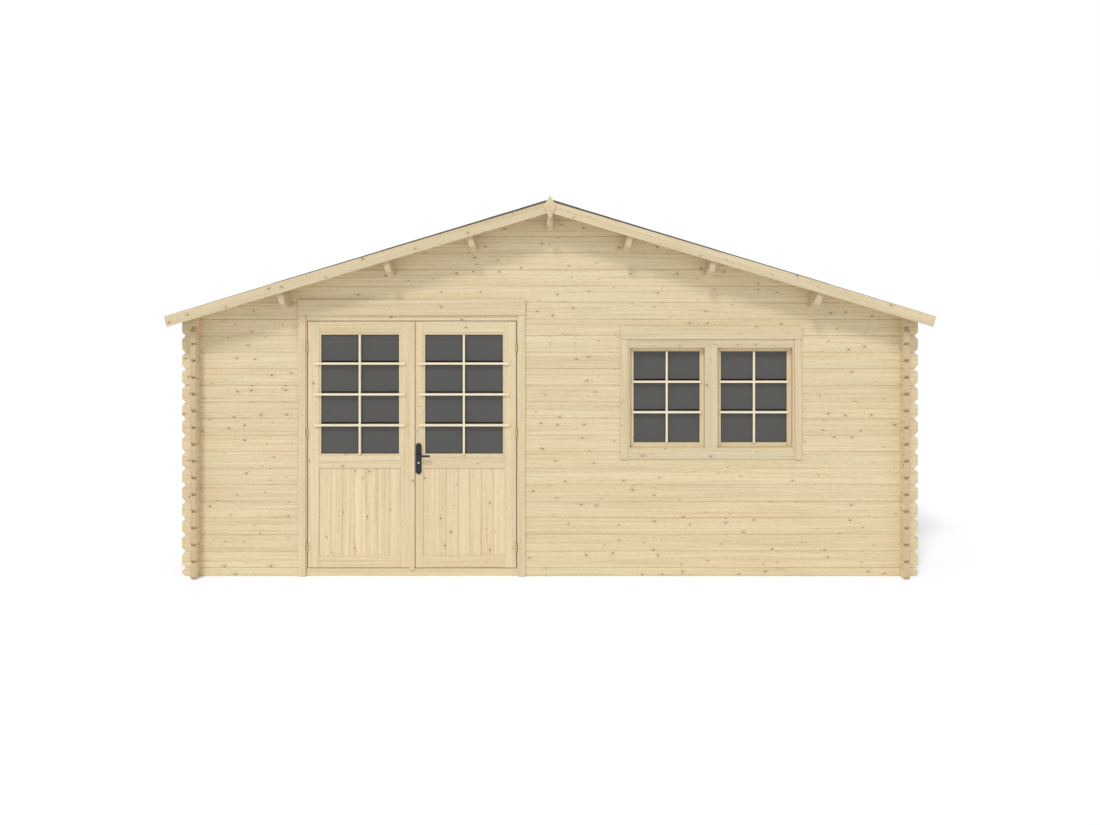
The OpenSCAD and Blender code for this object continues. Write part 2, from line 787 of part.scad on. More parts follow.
floor_bearers();
floor_boards();
front_wall_left();
front_wall_right();
front_gable();
back_wall();
back_gable();
left_wall();
right_wall();
ridge_purlin();
left_purlins();
right_purlins();
left_roof_boards();
right_roof_boards();
left_roof_covering();
right_roof_covering();
eaves_battens();
front_bargeboards();
back_bargeboards();
front_finial();
back_finial();
door_jambs();
door_head();
door_threshold();
door_stops();
door_casing();
door_casing_inside();
hinge_pins();
left_leaf_stiles();
left_leaf_rails();
left_leaf_panel();
left_leaf_glass();
meeting_strip();
left_leaf_hinges();
right_leaf_stiles();
right_leaf_rails();
right_leaf_panel();
right_leaf_glass();
right_leaf_hinges();
handle_plates();
lock_cylinder();
lever_handle();
window_jambs();
window_rails();
window_sashes();
window_glass();
window_casing();
window_casing_inside();
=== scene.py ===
# Log summerhouse: timber, glass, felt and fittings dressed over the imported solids.

import math
import random
from collections import namedtuple

import bmesh
import bpy
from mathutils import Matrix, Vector


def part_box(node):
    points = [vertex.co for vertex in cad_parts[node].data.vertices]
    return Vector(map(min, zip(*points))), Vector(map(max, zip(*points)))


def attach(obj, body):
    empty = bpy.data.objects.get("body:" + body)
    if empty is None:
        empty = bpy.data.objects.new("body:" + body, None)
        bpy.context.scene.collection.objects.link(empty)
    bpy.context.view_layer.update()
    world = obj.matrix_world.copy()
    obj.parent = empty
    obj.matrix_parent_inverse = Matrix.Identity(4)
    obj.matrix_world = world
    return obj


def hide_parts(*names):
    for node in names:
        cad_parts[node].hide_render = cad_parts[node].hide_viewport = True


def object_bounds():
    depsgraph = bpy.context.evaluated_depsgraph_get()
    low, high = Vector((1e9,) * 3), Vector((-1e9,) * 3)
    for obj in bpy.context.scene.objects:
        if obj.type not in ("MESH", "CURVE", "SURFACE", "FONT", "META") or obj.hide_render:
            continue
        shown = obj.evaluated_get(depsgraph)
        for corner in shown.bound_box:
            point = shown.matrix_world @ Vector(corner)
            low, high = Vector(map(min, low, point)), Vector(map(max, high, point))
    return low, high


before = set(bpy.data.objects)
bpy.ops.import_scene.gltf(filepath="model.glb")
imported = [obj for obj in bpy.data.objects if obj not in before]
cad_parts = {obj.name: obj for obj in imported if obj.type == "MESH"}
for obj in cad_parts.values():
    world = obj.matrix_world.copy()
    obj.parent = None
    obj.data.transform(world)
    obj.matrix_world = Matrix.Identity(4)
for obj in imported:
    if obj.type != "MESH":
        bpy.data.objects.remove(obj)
cad_low, cad_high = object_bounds()

# Values

X = 0
Y = 1
Z = 2

# How near points, planes and directions have to be to count as the same
SAME_POINT = 1e-6
SAME_PLANE = 1e-4
FLAT_ANGLE = 0.005
SQUARE_COSINE = 0.1
LENGTH_DIGITS = 5

# One sequence of draws gives every board its own grain
TIMBER_SEED = 1934
HEART_NEAR = 0.018
HEART_FAR = 0.085
GRAIN_LENGTH = 40.0
END_GRAIN_TURN = 0.55
EDGE_TURN = 0.7

# Eased edges of planed timber and of metal
SHARP_ANGLE = math.radians(28)
SMOOTH_ANGLE = math.radians(35)
JOINERY_EASE = 0.0018
TRIM_EASE = 0.0022
RAFTER_EASE = 0.0025
METAL_EASE = 0.0012
HINGE_EASE = 0.0006

# Boards that the solids leave out
ROOF_BOARDS = 48
FLOOR_BOARDS = 48
PANEL_BOARDS = 7
BOARD_GAP = 0.0005
BOARD_CHAMFER = 0.0035
PANEL_EASE = 0.0007
PAST_END = 1

# Roofing felt, laid in lengths along the house from the eaves up
FELT_WIDTH = 0.9
FELT_STEP = 0.0012
FELT_LAP = 0.002
FELT_BLEED = 0.011
FELT_NARROWEST = 0.1
RIDGE_CAP = 0.23
FACES_UP = 0.5
NAIL_R = 0.005
NAIL_TAPER = 0.85
NAIL_PROUD = 0.0012
NAIL_SIDES = 8
NAIL_IN = 0.03
NAIL_STEP = 0.12

# Glazing bars and beads
BAR_W = 0.0155
BAR_PROUD = 0.0165
BAR_STEP = 0.001
BAR_OVERLAP = 0.037
BEAD_W = 0.016
BEAD_SETBACK = 0.003
GLASS_GAP = 0.0004
# Black lines of painted shade on the glass just above each level bar: how tall and how thick
SHADE_LINE_UP = 0.013
SHADE_LINE_T = 0.002
DOOR_ROWS = 4
WINDOW_ROWS = 3
WINDOW_OVERLAP = 0.012

# Screws, and the slot for the key
SCREW_R = 0.004
SCREW_TAPER = 0.75
SCREW_RIM = 0.4
SCREW_PROUD = 0.0008
DRIVE_DEPTH = 0.75
SCREW_SIDES = 12
SCREW_END = 0.045
SCREW_STEP = 0.42
PLATE_SCREW_IN = 0.019
BARGE_SCREW_APART = 0.042
BARGE_END_CORNERS = 4
KEY_SLOT = (0.0016, 0.009)
KEY_SLOT_PROUD = 0.0002

# The thin lip that closes most of the gap between the door leaves
LIP_W = 0.004
LIP_SETBACK = 0.002
LIP_DEPTH = 0.02
LIP_EASE = 0.0005

# Soft patterns: changes to a metre each way, detail, and where marks in them start and are full
Pattern = namedtuple("Pattern", "scale detail start full", defaults=(0.0, 1.0))

# Knots, with a cell of the pattern for each: cells to a metre, and reaches as shares of a cell
KNOT = (0.25, 0.155, 0.08, 1)
KNOT_CELLS = (5.0, 8.0, 0.0)
KNOT_SIZES = (0.6, 1.35)
KNOT_HEART = (0.018, 0.06)
KNOT_HALO = (0.04, 0.2)
KNOT_DEPTH = 0.85
KNOT_SWEEP = 0.007

# Growth rings
RING_WIDTH = 0.0058
RING_CLOUD = Pattern((0.5, 4.0, 4.0), 2.0)
RING_WANDER = 0.006
RING_LATE = (0.35, 0.95)
RING_GLOSS = 0.06
FIBRE_CLOUD = Pattern((30.0, 900.0, 900.0), 2.0)
FIBRE_SHARE = 0.5

# Marks along the grain
STREAKS = Pattern((1.4, 125.0, 125.0), 3.0, 0.44, 0.7)
FLECKS = Pattern((30.0, 140.0, 140.0), 2.0, 0.45, 0.72)
BANDS = Pattern((0.5, 26.0, 26.0), 2.0, 0.3, 0.7)
FLUSHES = Pattern((0.8, 15.0, 15.0), 2.0, 0.4, 0.66)
ROSY = (1.0, 0.965, 0.945, 1)

# How much rings, streaks, flecks, bands, the board's own tone and the knots' halos darken a board
RINGS_DARKEN = 0.26
MARKS_DARKEN = (0.42, 0.32, 0.22, 0.16, 0.2)

# Shine of each finish, and the strength and depth of its fine relief
PINE_SHINE = 0.3
PINE_RELIEF = (0.35, 0.0006)
FELT_SHINE = 0.25
FELT_RELIEF = (0.6, 0.001)
GLASS_SHINE = 0.25
GLASS_RELIEF = (0.05, 0.002)
METAL_RELIEF = (0.15, 0.0003)
SHADE_BLACK_SHINE = 0.08
SHADE_BLACK_RELIEF = (0.2, 0.0002)

# Sawn ends, early wood and late wood
LOG_ENDS = ((0.66, 0.527, 0.357, 1), (0.497, 0.386, 0.25, 1))
BOARD_ENDS = ((0.58, 0.495, 0.335, 1), (0.47, 0.39, 0.25, 1))
PURLIN_ENDS = ((0.645, 0.543, 0.354, 1), (0.524, 0.428, 0.265, 1))

# Felt: dark and pale grit, the paler lengths, and bitumen
GRIT_CELLS = 420.0
GRIT_COLOURS = ((0.068, 0.061, 0.045, 1), (0.2, 0.181, 0.134, 1))
GRIT_ROUGH = (0.82, 0.97)
PALE_LENGTH = (0.18, 0.163, 0.121, 1)
PALE_SHARE = 0.4
BITUMEN = (0.016, 0.016, 0.015, 1)
BITUMEN_GLOSS = 0.6

# Weather on the felt, as wear, rain streaks and patches: the pattern, its share and its colour
FELT_WEATHER = (
    (Pattern((1.7, 1.1, 1.7), 4.0, 0.35, 0.7), 0.25, (0.174, 0.155, 0.111, 1)),
    (Pattern((0.7, 16.0, 0.7), 3.0, 0.45, 0.75), 0.3, (0.087, 0.079, 0.06, 1)),
    (Pattern((14.0, 14.0, 14.0), 3.0, 0.45, 0.7), 0.3, (0.102, 0.092, 0.069, 1)),
)

# Glass, metal, and the black of the painted shade
GLASS_LINES = Pattern((2.0, 2.0, 0.7), 2.0)
GLASS_DUST = Pattern((60.0, 60.0, 60.0), 3.0, 0.3, 0.8)
GLASS_TINTS = ((0.104, 0.103, 0.099, 1), (0.118, 0.117, 0.113, 1))
GLASS_ROUGH = (0.03, 0.09)
GLASS_COVER = 0.82
SCRATCH_DETAIL = 3.0
HANDLING = Pattern((35.0, 35.0, 35.0), 4.0, 0.3, 0.75)
HANDLED_ROUGHER = 0.16
SHADE_BLACK_BLOOM = Pattern((90.0, 90.0, 90.0), 4.0, 0.3, 0.75)
SHADE_BLACKS = ((0.006, 0.006, 0.006, 1), (0.016, 0.016, 0.015, 1))
SHADE_BLACK_ROUGH = (0.7, 0.95)

# The photograph's view
FRAME_W = 1100
CAMERA_Y = -10.125
CAMERA_Z = 2.596
LENS_PIXELS = 989.7
SENSOR_MM = 36
HORIZON_PIXELS = 157.5

# Light
SUN_TRAVEL = Vector((0.28, 0.75, -1.0))
SUN_STRENGTH = 1.35
SUN_SOFTNESS = math.radians(11)
SKY_STRENGTH = 0.65
FLOOR_PALE = (0.95, 0.95, 0.95, 1)
WHITE = (1, 1, 1, 1)
# A cool glow makes up for the warm light that the timber throws on the floor
FLOOR_COOL = (0.3, 0.5, 1, 1)
FLOOR_GLOW = 0.14
FLOOR_W = 160
FLOOR_BELOW = 0.001
VIEW_REACH = 500

OUT = Vector((0, -1, 0))
IN = Vector((0, 1, 0))

dice = random.Random(TIMBER_SEED)


# Meshes

def merged_copy(node):
    """A closed copy of a solid's mesh, with its flat faces whole again."""
    bm = bmesh.new()
    bm.from_mesh(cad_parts[node].data)
    bmesh.ops.remove_doubles(bm, verts=bm.verts, dist=SAME_POINT)
    bmesh.ops.dissolve_limit(bm, angle_limit=FLAT_ANGLE, verts=bm.verts, edges=bm.edges)
    return bm


def solids_in(bm):
    """The vertices of each separate solid."""
    left = set(bm.verts)
    groups = []
    for first in bm.verts:
        if first not in left:
            continue
        left.discard(first)
        group = [first]
        for vert in group:
            for edge in vert.link_edges:
                other = edge.other_vert(vert)
                if other in left:
                    left.discard(other)
                    group.append(other)
        groups.append(group)
    return groups


def box_of(verts):
    """Lowest and highest corner of some vertices."""
    low = Vector([min(v.co[axis] for v in verts) for axis in (X, Y, Z)])
    high = Vector([max(v.co[axis] for v in verts) for axis in (X, Y, Z)])
    return low, high


def middle_of(verts):
    """The middle of some vertices."""
    return sum((vert.co for vert in verts), Vector()) / len(verts)


def extent(verts, direction):
    """How far some vertices reach along a direction."""
    places = [v.co.dot(direction) for v in verts]
    return max(places) - min(places)


def direction_of(edge):
    """The direction in which an edge runs."""
    return (edge.verts[1].co - edge.verts[0].co).normalized()


def longest_of(edges):
    """The longest edge, the first of those that are equal."""
    return max(edges, key=lambda edge: (round(edge.calc_length(), LENGTH_DIGITS), -edge.index))


def solid_boxes(node):
    """The box of each solid in a node, from left to right."""
    bm = merged_copy(node)
    boxes = [box_of(group) for group in solids_in(bm)]
    bm.free()
    return sorted(boxes, key=lambda box: (box[0].x, box[0].z))


def ease_edges(bm, width, segments=2):
    """Rounds the sharp edges over."""
    edges = [
        edge for edge in bm.edges
        if len(edge.link_faces) == 2 and edge.calc_face_angle(0) > SHARP_ANGLE
    ]
    bmesh.ops.bevel(
        bm, geom=edges, offset=width, offset_type="OFFSET", segments=segments,
        profile=0.5, affect="EDGES", material=-1, clamp_overlap=True,
    )


def add_block(bm, low, high):
    """A square-edged block between two corners."""
    low = Vector(low)
    high = Vector(high)
    made = bmesh.ops.create_cube(bm, size=1)
    bmesh.ops.scale(bm, vec=high - low, verts=made["verts"])
    bmesh.ops.translate(bm, vec=(low + high) / 2, verts=made["verts"])


def cut_off(bm, axis, place, keep_above):
    """Saws a closed mesh square to an axis and keeps one side, with its cut face closed."""
    normal = Vector((0, 0, 0))
    normal[axis] = 1
    cut = bmesh.ops.bisect_plane(
        bm, geom=bm.verts[:] + bm.edges[:] + bm.faces[:], dist=SAME_POINT,
        plane_co=normal * place, plane_no=normal,
        clear_inner=keep_above, clear_outer=not keep_above,
    )
    edges = [part for part in cut["geom_cut"] if isinstance(part, bmesh.types.BMEdge)]
    bmesh.ops.edgenet_fill(bm, edges=edges)


def pour(bm, into):
    """Adds one mesh to another."""
    carrier = bpy.data.meshes.new("carrier")
    bm.to_mesh(carrier)
    into.from_mesh(carrier)
    bpy.data.meshes.remove(carrier)
    bm.free()


def write_grain(bm):
    """Gives each board its own run of grain, as the place of each point from the heart of the tree."""
    grain = bm.verts.layers.float_vector.new("grain")
    tone = bm.verts.layers.float.new("tone")
    sawn = bm.faces.layers.float.new("sawn_end")
    edgewise = bm.faces.layers.float.new("edge_face")
    bm.edges.index_update()
    bm.normal_update()
    for group in solids_in(bm):
        members = set(group)
        edges = {edge for vert in group for edge in vert.link_edges if edge.other_vert(vert) in members}
        along = direction_of(longest_of(edges))
        square = [edge for edge in edges if abs(direction_of(edge).dot(along)) < SQUARE_COSINE]
        wide = direction_of(longest_of(square))
        deep = along.cross(wide)
        if extent(group, deep) > extent(group, wide):
            wide, deep = deep, wide
        low, high = box_of(group)
        middle = (low + high) / 2
        turn = dice.uniform(0, 2 * math.pi)
        reach = dice.uniform(HEART_NEAR, HEART_FAR)
        start = dice.uniform(0, GRAIN_LENGTH)
        shade = dice.random()
        for vert in group:
            arm = vert.co - middle
            vert[grain] = Vector((
                arm.dot(along) + start,
                arm.dot(wide) + reach * math.cos(turn),
                arm.dot(deep) + reach * math.sin(turn),
            ))
            vert[tone] = shade
        for face in {face for vert in group for face in vert.link_faces}:
            face[sawn] = 1 if abs(face.normal.dot(along)) > END_GRAIN_TURN else 0
            face[edgewise] = 1 if abs(face.normal.dot(wide)) > EDGE_TURN else 0


def add_piece(bm, name, body, finish, nodes=(), smooth=False):
    """Makes the finished object, hangs it on the body it rides on, and hides the solids it stands for."""
    mesh = bpy.data.meshes.new(name)
    bm.to_mesh(mesh)
    bm.free()
    if smooth:
        mesh.shade_smooth()
        mesh.set_sharp_from_angle(angle=SMOOTH_ANGLE)
    mesh.materials.append(finish)
    piece = bpy.data.objects.new(name, mesh)
    bpy.context.scene.collection.objects.link(piece)
    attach(piece, body)
    if nodes:
        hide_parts(*nodes)


# Pieces

def timber(node, name, body, finish, ease):
    """Sawn and planed timber: the solid with eased edges and its own grain."""
    bm = merged_copy(node)
    if ease:
        ease_edges(bm, ease)
    write_grain(bm)
    add_piece(bm, name, body, finish, (node,))


def boards(node, name, body, finish, axis, lines, ease):
    """A solid sawn into boards at these lines along an axis."""
    low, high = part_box(node)
    edges = [low[axis] - PAST_END, *lines, high[axis] + PAST_END]
    bm = bmesh.new()
    for start, end in zip(edges, edges[1:]):
        board = merged_copy(node)
        cut_off(board, axis, start + BOARD_GAP / 2, True)
        cut_off(board, axis, end - BOARD_GAP / 2, False)
        ease_edges(board, ease, 1)
        pour(board, bm)
    write_grain(bm)
    add_piece(bm, name, body, finish, (node,))


def even_lines(node, axis, count):
    """The joints between boards of equal width."""
    low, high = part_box(node)
    width = (high[axis] - low[axis]) / count
    return [low[axis] + width * k for k in range(1, count)]


def fitting(node, name, body, finish, ease):
    """Metal fittings with eased edges."""
    bm = merged_copy(node)
    ease_edges(bm, ease)
    add_piece(bm, name, body, finish, (node,), smooth=True)


def felt_laps(eaves):
    """How far down the slope each length starts under the one above, from the cap down."""
    laps = [RIDGE_CAP]
    place = eaves - FELT_WIDTH
    while place > RIDGE_CAP + FELT_NARROWEST:
        laps.insert(1, place)
        place -= FELT_WIDTH
    return laps


def felt_nails(side, ridge, down, normal, edges, front, back):
    """A row of nails along every lower edge of a slope's felt."""
    run = back - front - 2 * NAIL_IN
    steps = math.ceil(run / NAIL_STEP)
    places = [
        (ridge + down * (edge - NAIL_IN) + Vector((0, front + NAIL_IN + run * k / steps, 0)), normal)
        for edge in edges
        for k in range(steps + 1)
    ]
    fixings(places, nail_head, NAIL_PROUD, side + "_felt_nails", "house", lock_steel)


def felt_roof(node, side, finish):
    """Roofing felt in lapped lengths with a cap length over the ridge, nailed along every lower edge."""
    low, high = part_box(node)
    bm = merged_copy(node)
    outward = 1 if low.x + high.x > 0 else -1
    top = max(bm.faces, key=lambda face: face.calc_area() if face.normal.z > FACES_UP else 0)
    normal = top.normal.copy()
    down = Vector((outward * normal.z, 0, -abs(normal.x)))
    ridge = Vector((0, 0, high.z))
    eaves = max(abs(low.x), abs(high.x)) / normal.z
    laps = felt_laps(eaves)
    for lap in laps:
        for at in (lap, lap + FELT_LAP, lap + FELT_BLEED):
            bmesh.ops.bisect_plane(
                bm, geom=bm.verts[:] + bm.edges[:] + bm.faces[:], dist=SAME_POINT,
                plane_co=ridge + down * at, plane_no=down,
            )
    lower_edges = laps[1:] + [eaves]
    for vert in bm.verts:
        arm = vert.co - ridge
        at = arm.dot(down)
        if abs(arm.dot(normal)) > SAME_PLANE:
            continue
        for lap, edge in zip(laps, lower_edges):
            upper = lap + FELT_LAP
            if upper - SAME_PLANE < at < edge - SAME_PLANE:
                vert.co -= normal * FELT_STEP * (edge - at) / (edge - upper)
    length_tone = bm.faces.layers.float.new("length_tone")
    bitumen = bm.faces.layers.float.new("bitumen")
    tones = [dice.random() for _ in range(len(laps) + 1)]
    for face in bm.faces:
        at = (face.calc_center_median() - ridge).dot(down)
        face[length_tone] = tones[sum(at > lap for lap in laps)]
        face[bitumen] = 1 if any(lap < at < lap + FELT_BLEED for lap in laps) else 0
    add_piece(bm, side + "_felt_lengths", "house", finish, (node,))
    felt_nails(side, ridge, down, normal, (RIDGE_CAP, *lower_edges), low.y, high.y)


def bead_frame(bm, low, high, near, far):
    """Four beads round the edge of a pane, between two depths."""
    for x0, x1 in ((low.x, low.x + BEAD_W), (high.x - BEAD_W, high.x)):
        add_block(bm, (x0, near, low.z), (x1, far, high.z))
    for z0, z1 in ((low.z, low.z + BEAD_W), (high.z - BEAD_W, high.z)):
        add_block(bm, (low.x + BEAD_W, near, z0), (high.x - BEAD_W, far, z1))


def bar_grid(bars, shade_lines, low, high, rows, edge, overlap, face, glass):
    """One upright bar and the level bars across a pane, on one of its faces, with a black line of painted
    shade on the glass above each level bar.

    face is the depth of the frame round the pane, and glass the depth of the pane's own face there.
    """
    outward = 1 if face > glass else -1
    front = face + outward * BAR_PROUD
    middle = (low.x + high.x) / 2
    left_end = low.x + edge
    right_end = high.x - edge
    span_depths = sorted((front - outward * BAR_STEP, glass))
    add_block(
        bars,
        (middle - BAR_W / 2, span_depths[0], low.z + edge),
        (middle + BAR_W / 2, span_depths[1], high.z - edge),
    )
    for row in range(1, rows):
        z = low.z + (high.z - low.z) * row / rows
        lap = sorted((front, face))
        add_block(
            bars,
            (low.x - overlap, lap[0], z - BAR_W / 2),
            (high.x + overlap, lap[1], z + BAR_W / 2),
        )
        for x0, x1 in ((left_end, middle - BAR_W / 2), (middle + BAR_W / 2, right_end)):
            inner = sorted((face, glass))
            add_block(bars, (x0, inner[0], z - BAR_W / 2), (x1, inner[1], z + BAR_W / 2))
            # A black line of painted shade on the glass just above the level bar
            strip = sorted((glass, glass + outward * SHADE_LINE_T))
            add_block(shade_lines, (x0, strip[0], z + BAR_W / 2), (x1, strip[1], z + BAR_W / 2 + SHADE_LINE_UP))


def add_glazing(beads, bars, shade_lines, opening, body):
    """Makes the pieces of one opening's glazing."""
    for bm, what, finish in ((beads, "_glazing_beads", joinery_pine), (bars, "_glazing_bars", highlit_bar_pine)):
        ease_edges(bm, JOINERY_EASE)
        write_grain(bm)
        add_piece(bm, opening + what, body, finish)
    # The lines of painted shade, in matt black
    ease_edges(shade_lines, SHADE_LINE_T / 4, 1)
    add_piece(shade_lines, opening + "_glazing_shade_lines", body, painted_shade_black)


def door_glazing(leaf):
    """Beads round a leaf's glass and the bars that divide it, on both faces."""
    low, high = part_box(leaf + "_glass")
    face_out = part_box(leaf + "_stiles")[0].y
    face_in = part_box(leaf + "_stiles")[1].y
    beads, bars, shade_lines = bmesh.new(), bmesh.new(), bmesh.new()
    for face, glass, setback in (
        (face_out, low.y - GLASS_GAP, BEAD_SETBACK),
        (face_in, high.y + GLASS_GAP, -BEAD_SETBACK),
    ):
        bead_frame(beads, low, high, *sorted((face + setback, glass)))
        bar_grid(bars, shade_lines, low, high, DOOR_ROWS, BEAD_W, BAR_OVERLAP, face, glass)
    add_glazing(beads, bars, shade_lines, leaf, leaf)


def window_glazing():
    """Bars on both faces of the window's panes, and the beads that hold the panes from inside."""
    face_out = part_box("window_sashes")[0].y
    face_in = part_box("window_sashes")[1].y
    beads, bars, shade_lines = bmesh.new(), bmesh.new(), bmesh.new()
    for low, high in solid_boxes("window_glass"):
        glass_out = low.y - GLASS_GAP
        glass_in = high.y + GLASS_GAP
        bead_frame(beads, low, high, glass_in, face_in - BEAD_SETBACK)
        bar_grid(bars, shade_lines, low, high, WINDOW_ROWS, 0, WINDOW_OVERLAP, face_out, glass_out)
        bar_grid(bars, shade_lines, low, high, WINDOW_ROWS, BEAD_W, WINDOW_OVERLAP, face_in, glass_in)
    add_glazing(beads, bars, shade_lines, "window", "house")


def screw_head():
    """A countersunk screw's head with a recessed drive."""
    head = bmesh.new()
    bmesh.ops.create_cone(
        head, cap_ends=True, segments=SCREW_SIDES, radius1=SCREW_R, radius2=SCREW_TAPER * SCREW_R,
        depth=SCREW_PROUD,
    )
    drive = max(head.faces, key=lambda face: face.calc_center_median().z)
    bmesh.ops.inset_region(head, faces=[drive], thickness=SCREW_RIM * SCREW_R, use_even_offset=True)
    bmesh.ops.translate(head, vec=(0, 0, -DRIVE_DEPTH * SCREW_PROUD), verts=drive.verts)
    return head


def nail_head():
    """A felt nail's broad flat head."""
    head = bmesh.new()
    bmesh.ops.create_cone(
        head, cap_ends=True, segments=NAIL_SIDES, radius1=NAIL_R, radius2=NAIL_TAPER * NAIL_R,
        depth=NAIL_PROUD,
    )
    return head


def fixings(places, make_head, proud, name, body, finish):
    """Heads of screws or nails, each at a place and facing a direction."""
    bm = bmesh.new()
    for place, outward in places:
        head = make_head()
        turn = Vector((0, 0, 1)).rotation_difference(outward).to_matrix()
        bmesh.ops.rotate(head, cent=(0, 0, 0), matrix=turn, verts=head.verts)
        bmesh.ops.translate(head, vec=place + outward * proud / 2, verts=head.verts)
        pour(head, bm)
    add_piece(bm, name, body, finish)


def screw_heads(places, name, body, finish):
    """A set of screws."""
    fixings(places, screw_head, SCREW_PROUD, name, body, finish)


def casing_screws(node, outward):
    """A row of screws along the middle of each casing board."""
    places = []
    for low, high in solid_boxes(node):
        axis = X if high.x - low.x > high.z - low.z else Z
        face = low.y if outward.y < 0 else high.y
        run = high[axis] - low[axis] - 2 * SCREW_END
        steps = math.ceil(run / SCREW_STEP)
        for k in range(steps + 1):
            place = (low + high) / 2
            place.y = face
            place[axis] = low[axis] + SCREW_END + run * k / steps
            places.append((place, outward))
    screw_heads(places, node + "_screws", "house", screw_zinc)


def barge_screws(node, outward):
    """Two screws through each bargeboard into the end of every purlin."""
    crossings = [
        (low.x + high.x) / 2
        for purlins in ("left_purlins", "right_purlins")
        for low, high in solid_boxes(purlins)
    ]
    places = []
    bm = merged_copy(node)
    for board in solids_in(bm):
        low, high = box_of(board)
        face = low.y if outward.y < 0 else high.y
        corners = sorted(board, key=lambda vert: abs(vert.co.x))
        ridge_end = middle_of(corners[:BARGE_END_CORNERS])
        eaves_end = middle_of(corners[-BARGE_END_CORNERS:])
        for x in crossings:
            if x * eaves_end.x < 0:
                continue
            middle = ridge_end.lerp(eaves_end, (x - ridge_end.x) / (eaves_end.x - ridge_end.x))
            for step in (-BARGE_SCREW_APART / 2, BARGE_SCREW_APART / 2):
                places.append((Vector((x, face, middle.z + step)), outward))
    bm.free()
    screw_heads(places, node + "_screws", "house", screw_zinc)


def plate_screws():
    """The screws at the ends of the handle plates, on both faces."""
    low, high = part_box("handle_plates")
    x = (low.x + high.x) / 2
    places = []
    for y, outward in ((low.y, OUT), (high.y, IN)):
        for z in (low.z + PLATE_SCREW_IN, high.z - PLATE_SCREW_IN):
            places.append((Vector((x, y, z)), outward))
    screw_heads(places, "handle_plate_screws", "right_leaf", handle_black)


def key_slots():
    """The slot for the key in both ends of the lock cylinder, drawn as a black patch of painted shade
    where the keyway's hollow is dark.
    """
    low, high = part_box("lock_cylinder")
    middle = (low + high) / 2
    width, height = KEY_SLOT
    bm = bmesh.new()
    for end in (low.y, high.y):
        add_block(
            bm,
            (middle.x - width / 2, end - KEY_SLOT_PROUD, middle.z - height / 2),
            (middle.x + width / 2, end + KEY_SLOT_PROUD, middle.z + height / 2),
        )
    ease_edges(bm, KEY_SLOT_PROUD / 2, 1)
    add_piece(bm, "key_slots", "right_leaf", painted_shade_black)


def meeting_lip():
    """A thin lip along the left leaf's meeting edge, short of the right leaf."""
    low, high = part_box("left_leaf_stiles")
    bm = bmesh.new()
    add_block(
        bm,
        (high.x, low.y + LIP_SETBACK, low.z + LIP_SETBACK),
        (high.x + LIP_W, low.y + LIP_SETBACK + LIP_DEPTH, high.z - LIP_SETBACK),
    )
    ease_edges(bm, LIP_EASE, 1)
    write_grain(bm)
    add_piece(bm, "meeting_lip", "left_leaf", joinery_pine)


# Finishes

def new_finish(name):
    """An empty material: its node tree and its surface shader."""
    finish = bpy.data.materials.new(name)
    finish.use_nodes = True
    tree = finish.node_tree
    return finish, tree, tree.nodes["Principled BSDF"]


def add(tree, kind, inputs, **settings):
    """A node with its settings, and its inputs set or linked."""
    made = tree.nodes.new("ShaderNode" + kind)
    for key, value in settings.items():
        setattr(made, key, value)
    for key, value in inputs.items():
        if isinstance(value, bpy.types.NodeSocket):
            tree.links.new(value, made.inputs[key])
        else:
            made.inputs[key].default_value = value
    return made


def sums(tree, operation, first, second):
    """One step of arithmetic."""
    return add(tree, "Math", {0: first, 1: second}, operation=operation).outputs[0]


def stretch(tree, vector, scale):
    """A pattern's place, stretched."""
    return add(tree, "VectorMath", {0: vector, 1: scale}, operation="MULTIPLY").outputs[0]


def ease_range(tree, value, low, high, start, end):
    """A smooth step from start to end as value goes from low to high."""
    step = add(
        tree, "MapRange",
        {"Value": value, "From Min": low, "From Max": high, "To Min": start, "To Max": end},
        interpolation_type="SMOOTHSTEP",
    )
    return step.outputs["Result"]


def mixed(tree, factor, first, second, blend="MIX"):
    """Two colours mixed by a factor."""
    mix = add(tree, "Mix", {0: factor, 6: first, 7: second}, data_type="RGBA", blend_type=blend)
    return mix.outputs[2]


def cloud(tree, place, pattern):
    """A soft pattern, from 0 to 1."""
    stretched = stretch(tree, place, pattern.scale)
    noise = add(tree, "TexNoise", {"Vector": stretched, "Scale": 1.0, "Detail": pattern.detail})
    return noise.outputs[0]


def marks_in(tree, soft, pattern, low, high):
    """The marks in a soft pattern, from low where they start to high where they are full."""
    return ease_range(tree, soft, pattern.start, pattern.full, low, high)


def marked(tree, place, pattern, high=1.0):
    """A soft pattern's marks at a place, from 0 to high."""
    return marks_in(tree, cloud(tree, place, pattern), pattern, 0.0, high)


def written(tree, name):
    """A value that the mesh carries under a name."""
    return add(tree, "Attribute", {}, attribute_name=name).outputs["Fac"]


def own_place(tree):
    """A point's place in the house, which no pose changes."""
    return add(tree, "TexCoord", {}).outputs["Object"]


def raise_relief(tree, surface, height, strength, distance):
    """Fine relief on a surface."""
    bump = add(tree, "Bump", {"Height": height, "Strength": strength, "Distance": distance})
    tree.links.new(bump.outputs["Normal"], surface.inputs["Normal"])


def seen_rays(tree):
    """1 for rays to the camera, also by reflection or through glass, and 0 for light on the house."""
    path = add(tree, "LightPath", {})
    seen = sums(tree, "MAXIMUM", path.outputs["Is Camera Ray"], path.outputs["Is Glossy Ray"])
    return sums(tree, "MAXIMUM", seen, path.outputs["Is Transmission Ray"])


def weighted_sum(tree, start, parts):
    """A value with other values added to it, each times its weight."""
    total = start
    for part, weight in parts:
        step = sums(tree, "MULTIPLY_ADD", part, weight)
        tree.links.new(total, step.node.inputs[2])
        total = step
    return total


